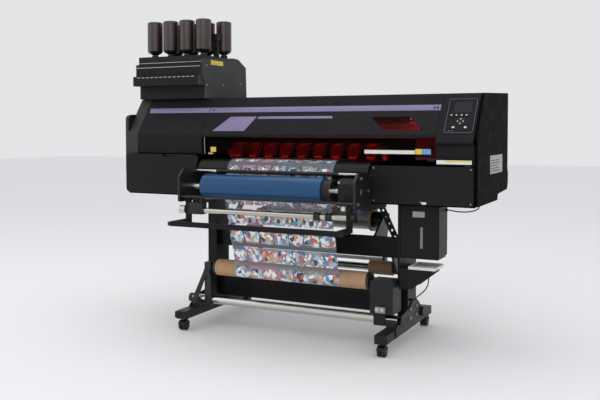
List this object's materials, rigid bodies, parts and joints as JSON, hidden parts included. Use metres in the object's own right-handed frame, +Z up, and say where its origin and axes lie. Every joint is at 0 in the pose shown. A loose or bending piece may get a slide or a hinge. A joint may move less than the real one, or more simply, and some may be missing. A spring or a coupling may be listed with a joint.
{
  "type": "roll-to-roll film printer",
  "caption": "Wide roll-to-roll film printer on a castered stand, with sloping hinged front cover, blue laminating roller, film rolls, ink bottles and key panel.",
  "frame": {"origin": "centre of the whole machine's footprint box, on the floor", "axes": "+X along the width towards the control panel, +Y towards the back, +Z up"},
  "size_m": [2.02, 1.015, 1.708],
  "materials": {
    "stand_paint": "satin black powder coat",
    "foot_paint": "satin dark grey powder coat",
    "zinc_steel": "bright zinc",
    "caster_plastic": "matt black",
    "wheel_plastic": "semi-gloss black",
    "beam_aluminium": "extruded, clear anodised",
    "pan_paint": "matt black powder coat",
    "cover_plastic": "fine-grained black",
    "end_cover_plastic": "fine-grained charcoal",
    "window_glass": "dark red tinted, clear",
    "platen_metal": "matt dark anodised look",
    "grit_steel": "grit surfaced",
    "pinch_paint": "satin black",
    "belt_rubber": "toothed, matt",
    "pulley_metal": "machined",
    "carriage_plastic": "fine-grained dark grey",
    "display_glass": "backlit, dim",
    "key_plastic": "satin grey",
    "ink_case_paint": "satin black",
    "deck_plastic": "matt black",
    "bottle_plastic": "glossy dark brown",
    "lam_paint": "satin black",
    "blue_rubber": "smooth blue silicone",
    "black_rubber": "smooth matt",
    "drive_plastic": "matt black",
    "shaft_steel": "ground, satin",
    "rail_steel": "bright",
    "core_card": "brown kraft card, matt",
    "film_roll": "silvery clear film, many turns",
    "frame_paint": "satin black",
    "tank_plastic": "matt black",
    "tray_plastic": "white, satin",
    "bracket_paint": "satin black",
    "film_clear": "clear film",
    "cable_rubber": "matt black"
  },
  "bodies": {
    "machine": {"foot_beams": "foot_paint", "leg_posts": "stand_paint", "cross_members": "stand_paint", "caster_stems": "zinc_steel", "main_beam": "beam_aluminium", "bottom_pan": "pan_paint", "rear_cover": "cover_plastic", "left_end_cover": "end_cover_plastic", "right_end_cover": "cover_plastic", "left_front_cover": "cover_plastic", "right_front_cover": "cover_plastic", "right_lower_cover": "cover_plastic", "platen": "platen_metal", "pinch_bar": "pinch_paint", "carriage_rail": "beam_aluminium", "carriage_belt": "belt_rubber", "display_screen": "display_glass", "ink_case": "ink_case_paint", "ink_deck": "deck_plastic", "ink_bottles": "bottle_plastic", "laminator_frame": "lam_paint", "laminator_drive": "drive_plastic", "guard_bar": "lam_paint", "takeup_rail": "rail_steel", "takeup_drive": "drive_plastic", "rear_frame": "frame_paint", "waste_tank": "tank_plastic", "drip_tray": "tray_plastic", "side_brackets": "bracket_paint", "film_web": "film_clear", "cable_tank": "cable_rubber", "cable_foot": "cable_rubber"},
    "cover": {"front_cover": "cover_plastic", "front_window": "window_glass"},
    "hatch": {"maintenance_cover": "cover_plastic"},
    "carriage_body": {"carriage": "carriage_plastic"},
    "pulley_right": {"drive_pulley": "pulley_metal"},
    "pulley_left": {"idler_pulley": "pulley_metal"},
    "feed": {"grit_roller": "grit_steel"},
    "laminating": {"laminating_roller": "blue_rubber"},
    "pressing": {"pressure_roller": "black_rubber"},
    "tension": {"tension_shaft": "shaft_steel"},
    "winding": {"takeup_core": "core_card"},
    "supply": {"supply_roll": "film_roll"},
    "spare": {"rear_core": "shaft_steel"},
    "function_key_1_body": {"function_key_1": "key_plastic"},
    "function_key_2_body": {"function_key_2": "key_plastic"},
    "function_key_3_body": {"function_key_3": "key_plastic"},
    "function_key_4_body": {"function_key_4": "key_plastic"},
    "arrow_pad_body": {"arrow_pad": "key_plastic"},
    "power_key_body": {"power_key": "key_plastic"},
    "enter_key_body": {"enter_key": "key_plastic"},
    "caster_front_left": {"caster_fork_front_left": "caster_plastic"},
    "wheels_front_left": {"caster_wheels_front_left": "wheel_plastic"},
    "caster_rear_left": {"caster_fork_rear_left": "caster_plastic"},
    "wheels_rear_left": {"caster_wheels_rear_left": "wheel_plastic"},
    "caster_front_right": {"caster_fork_front_right": "caster_plastic"},
    "wheels_front_right": {"caster_wheels_front_right": "wheel_plastic"},
    "caster_rear_right": {"caster_fork_rear_right": "caster_plastic"},
    "wheels_rear_right": {"caster_wheels_rear_right": "wheel_plastic"}
  },
  "joints": [
    {"name": "front_cover_hinge", "type": "hinge", "parent": "machine", "child": "cover", "pos_m": [0.16, 0.0115, 1.25179], "axis": [-1, 0, 0], "range_deg": [0, 60]},
    {"name": "maintenance_hinge", "type": "hinge", "parent": "machine", "child": "hatch", "pos_m": [-0.77, -0.1845, 0.738], "axis": [1, 0, 0], "range_deg": [0, 75]},
    {"name": "carriage_slide", "type": "slide", "parent": "machine", "child": "carriage_body", "axis": [1, 0, 0], "range_m": [-1.5, 0]},
    {"name": "drive_pulley_spin", "type": "hinge", "parent": "machine", "child": "pulley_right", "pos_m": [0.89, 0.1605, 1.13], "axis": [0, 0, 1], "continuous": true},
    {"name": "idler_pulley_spin", "type": "hinge", "parent": "machine", "child": "pulley_left", "pos_m": [-0.87, 0.1605, 1.13], "axis": [0, 0, 1], "continuous": true},
    {"name": "grit_roller_spin", "type": "hinge", "parent": "machine", "child": "feed", "pos_m": [0.01, 0.0495, 0.9145], "axis": [1, 0, 0], "continuous": true},
    {"name": "laminating_spin", "type": "hinge", "parent": "machine", "child": "laminating", "pos_m": [0.01, -0.3255, 0.79], "axis": [1, 0, 0], "continuous": true},
    {"name": "pressure_spin", "type": "hinge", "parent": "machine", "child": "pressing", "pos_m": [0.01, -0.2281, 0.79], "axis": [1, 0, 0], "continuous": true},
    {"name": "tension_spin", "type": "hinge", "parent": "machine", "child": "tension", "pos_m": [0.01, -0.3545, 0.668], "axis": [1, 0, 0], "continuous": true},
    {"name": "winding_spin", "type": "hinge", "parent": "machine", "child": "winding", "pos_m": [0.01, -0.1005, 0.3285], "axis": [1, 0, 0], "continuous": true},
    {"name": "supply_spin", "type": "hinge", "parent": "machine", "child": "supply", "pos_m": [0.01, 0.3045, 0.588], "axis": [1, 0, 0], "continuous": true},
    {"name": "spare_spin", "type": "hinge", "parent": "machine", "child": "spare", "pos_m": [0.01, 0.2295, 0.337], "axis": [1, 0, 0], "continuous": true},
    {"name": "function_key_1_press", "type": "slide", "parent": "machine", "child": "function_key_1_body", "axis": [0, 0.8223, -0.569], "range_m": [0, 0.0015], "stiffness_N_per_m": 600, "springref_m": -0.001},
    {"name": "function_key_2_press", "type": "slide", "parent": "machine", "child": "function_key_2_body", "axis": [0, 0.8223, -0.569], "range_m": [0, 0.0015], "stiffness_N_per_m": 600, "springref_m": -0.001},
    {"name": "function_key_3_press", "type": "slide", "parent": "machine", "child": "function_key_3_body", "axis": [0, 0.8223, -0.569], "range_m": [0, 0.0015], "stiffness_N_per_m": 600, "springref_m": -0.001},
    {"name": "function_key_4_press", "type": "slide", "parent": "machine", "child": "function_key_4_body", "axis": [0, 0.8223, -0.569], "range_m": [0, 0.0015], "stiffness_N_per_m": 600, "springref_m": -0.001},
    {"name": "arrow_pad_press", "type": "slide", "parent": "machine", "child": "arrow_pad_body", "axis": [0, 0.8223, -0.569], "range_m": [0, 0.0015], "stiffness_N_per_m": 600, "springref_m": -0.001},
    {"name": "power_key_press", "type": "slide", "parent": "machine", "child": "power_key_body", "axis": [0, 0.8223, -0.569], "range_m": [0, 0.0015], "stiffness_N_per_m": 600, "springref_m": -0.001},
    {"name": "enter_key_press", "type": "slide", "parent": "machine", "child": "enter_key_body", "axis": [0, 0.8223, -0.569], "range_m": [0, 0.0015], "stiffness_N_per_m": 600, "springref_m": -0.001},
    {"name": "swivel_front_left", "type": "hinge", "parent": "machine", "child": "caster_front_left", "pos_m": [-0.559, -0.2325, 0.057], "axis": [0, 0, 1], "continuous": true},
    {"name": "roll_front_left", "type": "hinge", "parent": "caster_front_left", "child": "wheels_front_left", "pos_m": [-0.559, -0.2505, 0.025], "axis": [1, 0, 0], "continuous": true},
    {"name": "swivel_rear_left", "type": "hinge", "parent": "machine", "child": "caster_rear_left", "pos_m": [-0.559, 0.4025, 0.057], "axis": [0, 0, 1], "continuous": true},
    {"name": "roll_rear_left", "type": "hinge", "parent": "caster_rear_left", "child": "wheels_rear_left", "pos_m": [-0.559, 0.4205, 0.025], "axis": [1, 0, 0], "continuous": true},
    {"name": "swivel_front_right", "type": "hinge", "parent": "machine", "child": "caster_front_right", "pos_m": [0.579, -0.2325, 0.057], "axis": [0, 0, 1], "continuous": true},
    {"name": "roll_front_right", "type": "hinge", "parent": "caster_front_right", "child": "wheels_front_right", "pos_m": [0.579, -0.2505, 0.025], "axis": [1, 0, 0], "continuous": true},
    {"name": "swivel_rear_right", "type": "hinge", "parent": "machine", "child": "caster_rear_right", "pos_m": [0.579, 0.4025, 0.057], "axis": [0, 0, 1], "continuous": true},
    {"name": "roll_rear_right", "type": "hinge", "parent": "caster_rear_right", "child": "wheels_rear_right", "pos_m": [0.579, 0.4205, 0.025], "axis": [1, 0, 0], "continuous": true}
  ],
  "couplings": [
    {"joint": "drive_pulley_spin", "follows": "carriage_slide", "rad_per_m": 58.139},
    {"joint": "idler_pulley_spin", "follows": "carriage_slide", "rad_per_m": 58.139},
    {"joint": "pressure_spin", "follows": "laminating_spin", "ratio": -2.0312}
  ]
}
